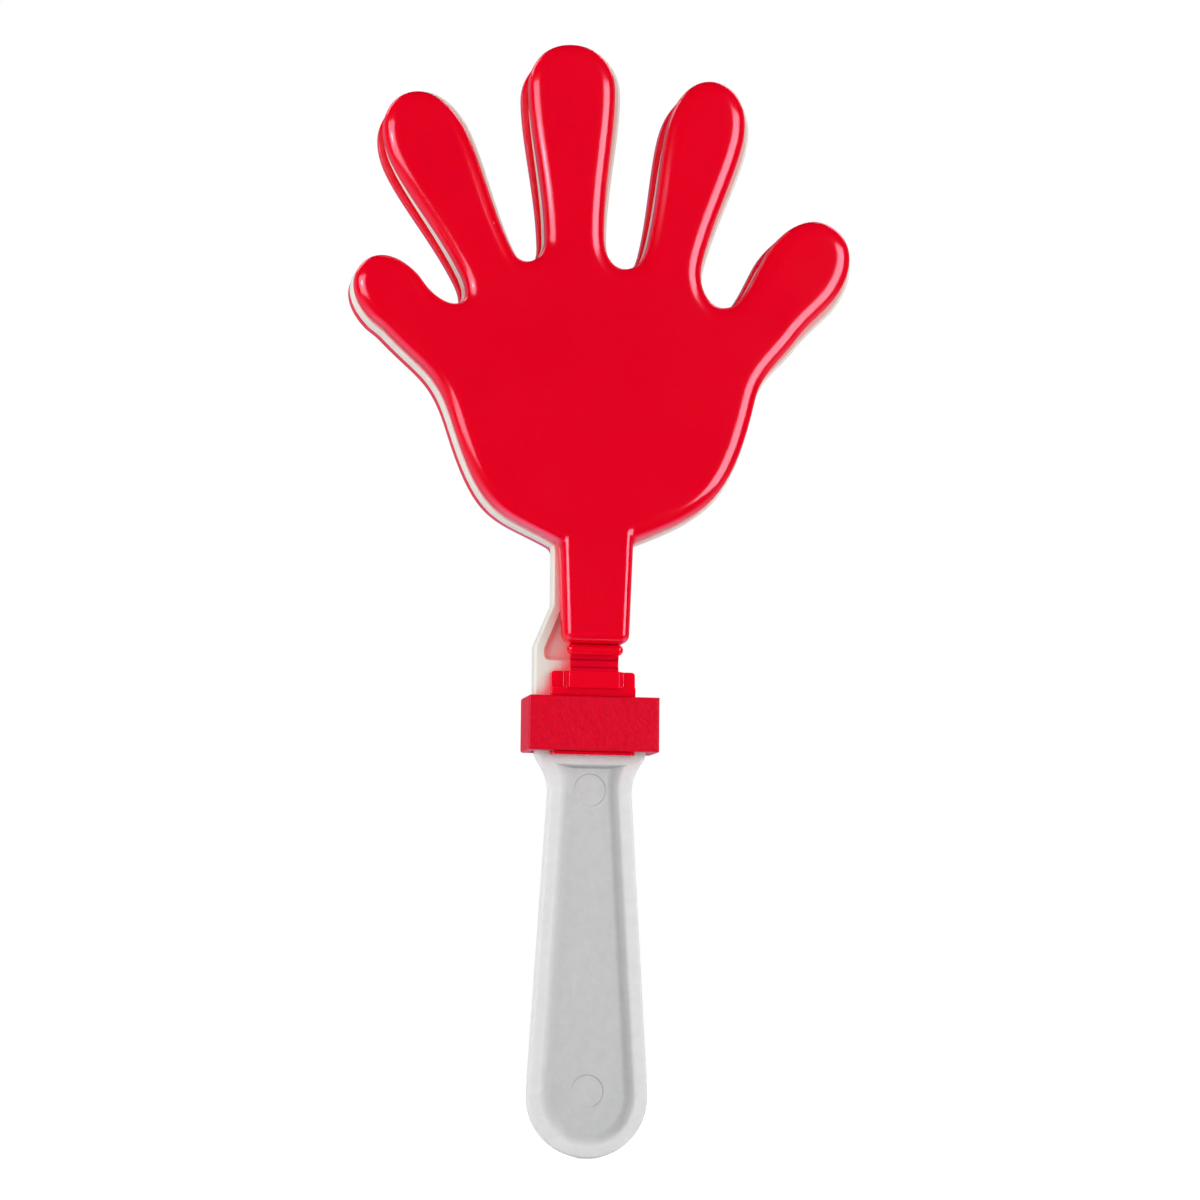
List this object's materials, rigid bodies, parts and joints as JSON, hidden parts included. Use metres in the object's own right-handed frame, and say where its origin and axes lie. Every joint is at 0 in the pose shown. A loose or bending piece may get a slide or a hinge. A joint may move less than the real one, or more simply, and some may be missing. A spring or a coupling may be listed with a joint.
{
  "type": "hand clapper",
  "caption": "Hand-shaped clapper: a flat centre hand on a handle, with hollow outer hands on living hinges held by a collar.",
  "frame": {"origin": "middle of the grip, on the handle's axis and halfway through its thickness", "axes": "+Z along the handle towards the fingertips, +X towards the thumb, -Y towards the front hand"},
  "size_m": [0.1291, 0.02, 0.2801],
  "materials": {
    "white_plastic": "smooth satin-gloss moulding, slightly creamy white",
    "red_plastic": "polished gloss",
    "collar_plastic": "satin with a fine texture"
  },
  "bodies": {
    "handle": {"center_hand": "white_plastic", "collar": "collar_plastic", "front_hinge_foot": "red_plastic", "back_hinge_foot": "red_plastic", "front_hinge_web": "red_plastic", "back_hinge_web": "red_plastic"},
    "front_hand": {"front_palm": "red_plastic"},
    "back_hand": {"back_palm": "red_plastic"}
  },
  "joints": [
    {"name": "front_palm_hinge", "type": "hinge", "parent": "handle", "child": "front_hand", "pos_m": [0, -0.005, 0.0725], "axis": [1, 0, 0], "range_deg": [-0.45, 70], "stiffness_Nm_per_rad": 0.05, "deforming": ["front_hinge_web"]},
    {"name": "back_palm_hinge", "type": "hinge", "parent": "handle", "child": "back_hand", "pos_m": [0, 0.005, 0.0725], "axis": [-1, 0, 0], "range_deg": [-0.45, 70], "stiffness_Nm_per_rad": 0.05, "deforming": ["back_hinge_web"]}
  ]
}
